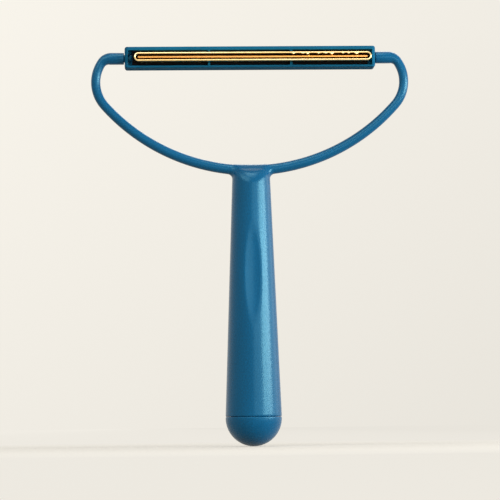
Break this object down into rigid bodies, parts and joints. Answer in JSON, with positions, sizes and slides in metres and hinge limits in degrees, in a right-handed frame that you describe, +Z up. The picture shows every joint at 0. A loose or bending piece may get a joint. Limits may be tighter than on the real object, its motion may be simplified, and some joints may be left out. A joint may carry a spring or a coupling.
{
  "type": "lint remover",
  "caption": "Hand lint remover: a tapered round handle with a bow that carries a swivelling bar with a long brass scraping loop on each face.",
  "frame": {"origin": "on the handle's axis, midway between the front and rear thumb scoops, where a hand holds the tool", "axes": "+Z up the handle's axis towards the head, +X along the head bar to the right, -Y to the front"},
  "size_m": [0.133, 0.0234, 0.1676],
  "materials": {
    "blue_plastic": "satin gloss, moulded",
    "head_plastic": "satin gloss, moulded",
    "black_plastic": "matt, moulded",
    "brass": "drawn strip, bright edges"
  },
  "bodies": {
    "handle": {"handle_yoke": "blue_plastic", "end_cap": "blue_plastic"},
    "head": {"head_shell_front": "head_plastic", "head_shell_rear": "head_plastic", "blade_carrier": "black_plastic", "blade_ring_front": "brass", "blade_ring_rear": "brass", "middle_blade_front": "brass", "middle_blade_rear": "brass"}
  },
  "joints": [
    {"name": "head_swivel", "type": "hinge", "parent": "handle", "child": "head", "pos_m": [0, 0, 0.0838], "axis": [1, 0, 0], "continuous": true}
  ]
}
